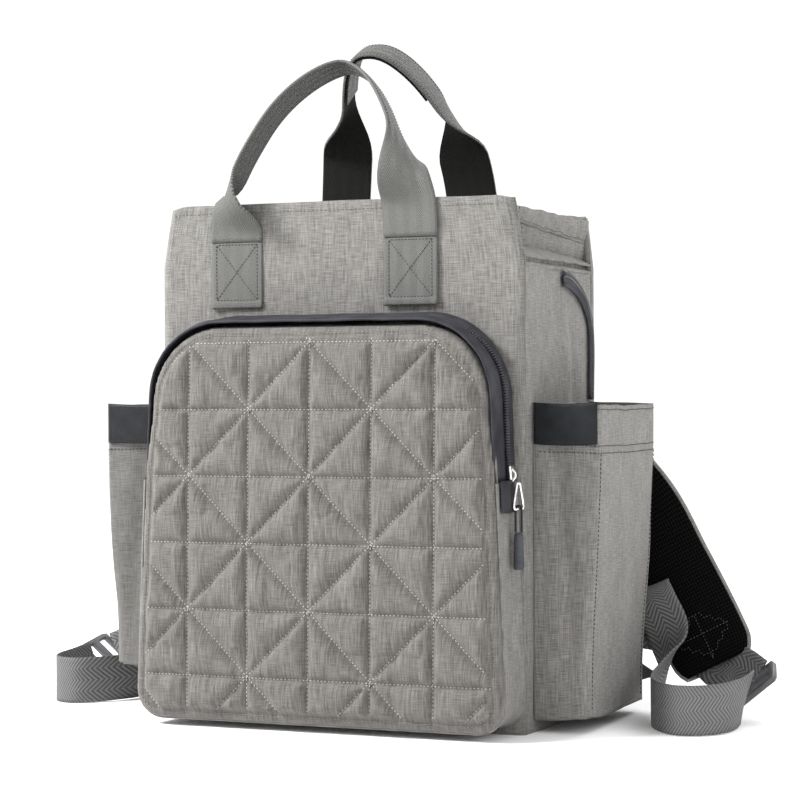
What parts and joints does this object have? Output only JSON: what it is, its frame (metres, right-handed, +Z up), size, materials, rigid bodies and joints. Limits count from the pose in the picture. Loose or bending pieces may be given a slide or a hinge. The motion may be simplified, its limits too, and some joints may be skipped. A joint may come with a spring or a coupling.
{
  "type": "diaper backpack",
  "caption": "Grey linen diaper backpack with a quilted front pocket, wide zipped top between two raised wings, open side pockets, webbing handles and padded shoulder straps.",
  "frame": {"origin": "middle of the base panel's underside, on the floor", "axes": "+Z up, the quilted front faces -Y, +X to the bag's right as seen from the front"},
  "size_m": [0.635, 0.2662, 0.5507],
  "materials": {
    "linen": "two-tone slub linen weave, matt",
    "quilted_linen": "two-tone slub linen weave, padded and stitched in squares and diagonals",
    "zip_tape": "charcoal woven tape, matt",
    "zip_teeth": "moulded coil, satin",
    "grained_band": "grained, satin",
    "webbing": "herringbone and ribbed webbing, slight sheen",
    "air_mesh": "open spacer mesh, matt",
    "moulded_plastic": "satin",
    "silver_metal": "polished silver plating",
    "moulded_grip": "matt",
    "pull_cord": "braided",
    "lining_cloth": "smooth plain weave",
    "board": "matt"
  },
  "bodies": {
    "bag": {"front_panel": "linen", "back_panel": "linen", "side_panel_right": "linen", "side_panel_left": "linen", "base_panel": "linen", "top_corner_right": "linen", "top_corner_left": "linen", "wing_gusset_right": "linen", "wing_gusset_left": "linen", "pocket_gusset_right": "linen", "pocket_gusset_left": "linen", "pocket_gusset_base": "linen", "side_pocket_wall_right": "linen", "side_pocket_wall_left": "linen", "side_pocket_base_right": "linen", "side_pocket_base_left": "linen", "strap_yoke": "linen", "pocket_face_lower": "quilted_linen", "base_board": "board", "lining": "lining_cloth", "inner_pocket": "lining_cloth", "back_mesh_pad": "air_mesh", "main_zip_side_right": "zip_tape", "main_zip_side_left": "zip_tape", "pocket_gusset_rear": "zip_tape", "front_zip_teeth_rear": "zip_teeth", "side_pocket_band_right": "grained_band", "side_pocket_band_left": "grained_band", "front_handle_patch_right": "webbing", "front_handle_patch_left": "webbing", "rear_handle_patch_right": "webbing", "rear_handle_patch_left": "webbing", "strap_anchor_right": "webbing", "strap_anchor_left": "webbing"},
    "front_top_flap": {"top_flap_front": "linen", "main_zip_teeth_front": "zip_teeth"},
    "rear_top_flap": {"top_flap_rear": "linen", "main_zip_teeth_rear": "zip_teeth"},
    "main_slider_right": {"main_slider_right": "silver_metal"},
    "main_pull_right": {"main_pull_right": "silver_metal"},
    "main_slider_left": {"main_slider_left": "silver_metal"},
    "main_pull_left": {"main_pull_left": "silver_metal"},
    "pocket_flap": {"pocket_face_upper": "quilted_linen", "pocket_gusset_front": "zip_tape", "front_zip_teeth_front": "zip_teeth"},
    "front_slider": {"front_slider": "silver_metal"},
    "front_pull": {"front_pull": "silver_metal"},
    "front_grip": {"front_pull_cord": "pull_cord", "front_grip": "moulded_grip"},
    "front_handle": {"front_handle": "webbing"},
    "rear_handle": {"rear_handle": "webbing"},
    "strap_right": {"shoulder_strap_right": "linen", "strap_mesh_right": "air_mesh", "strap_lock_right": "moulded_plastic", "strap_webbing_right": "webbing"},
    "strap_left": {"shoulder_strap_left": "linen", "strap_mesh_left": "air_mesh", "strap_lock_left": "moulded_plastic", "strap_webbing_left": "webbing"}
  },
  "joints": [
    {"name": "front_flap_open", "type": "hinge", "parent": "bag", "child": "front_top_flap", "pos_m": [0, -0.0817, 0.363], "axis": [1, 0, 0], "range_deg": [0, 80]},
    {"name": "rear_flap_open", "type": "hinge", "parent": "bag", "child": "rear_top_flap", "pos_m": [0, 0.0777, 0.363], "axis": [-1, 0, 0], "range_deg": [0, 80]},
    {"name": "main_slider_right_slide", "type": "slide", "parent": "front_top_flap", "child": "main_slider_right", "axis": [1, 0, 0], "range_m": [0, 0.084]},
    {"name": "main_pull_right_lift", "type": "hinge", "parent": "main_slider_right", "child": "main_pull_right", "pos_m": [0.0155, 0, 0.3655], "axis": [0, -1, 0], "range_deg": [0, 90]},
    {"name": "main_slider_left_slide", "type": "slide", "parent": "front_top_flap", "child": "main_slider_left", "axis": [-1, 0, 0], "range_m": [0, 0.084]},
    {"name": "main_pull_left_lift", "type": "hinge", "parent": "main_slider_left", "child": "main_pull_left", "pos_m": [-0.0155, 0, 0.3655], "axis": [0, 1, 0], "range_deg": [0, 90]},
    {"name": "pocket_flap_open", "type": "hinge", "parent": "bag", "child": "pocket_flap", "pos_m": [0, -0.1345, 0.1935], "axis": [1, 0, 0], "range_deg": [0, 75]},
    {"name": "front_slider_slide", "type": "slide", "parent": "bag", "child": "front_slider", "axis": [0, 0, 1], "range_m": [0, 0.05]},
    {"name": "front_pull_swing", "type": "hinge", "parent": "front_slider", "child": "front_pull", "pos_m": [0.15644, -0.1049, 0.1929], "axis": [0, -1, 0], "range_deg": [0, 120]},
    {"name": "front_grip_swing", "type": "hinge", "parent": "front_pull", "child": "front_grip", "pos_m": [0.15644, -0.1049, 0.1729], "axis": [0, -1, 0], "range_deg": [0, 60]},
    {"name": "front_handle_fold", "type": "hinge", "parent": "bag", "child": "front_handle", "pos_m": [-0.012, -0.0904, 0.382], "axis": [1, 0, 0], "range_deg": [0, 130]},
    {"name": "rear_handle_fold", "type": "hinge", "parent": "bag", "child": "rear_handle", "pos_m": [-0.012, 0.0904, 0.382], "axis": [-1, 0, 0], "range_deg": [0, 130]},
    {"name": "strap_right_swing", "type": "hinge", "parent": "bag", "child": "strap_right", "pos_m": [0.08, 0.106, 0.284], "axis": [1, 0, 0], "range_deg": [0, 65]},
    {"name": "strap_left_swing", "type": "hinge", "parent": "bag", "child": "strap_left", "pos_m": [-0.08, 0.106, 0.284], "axis": [1, 0, 0], "range_deg": [0, 65]}
  ],
  "couplings": [
    {"joint": "rear_flap_open", "follows": "front_flap_open", "ratio": 1}
  ]
}
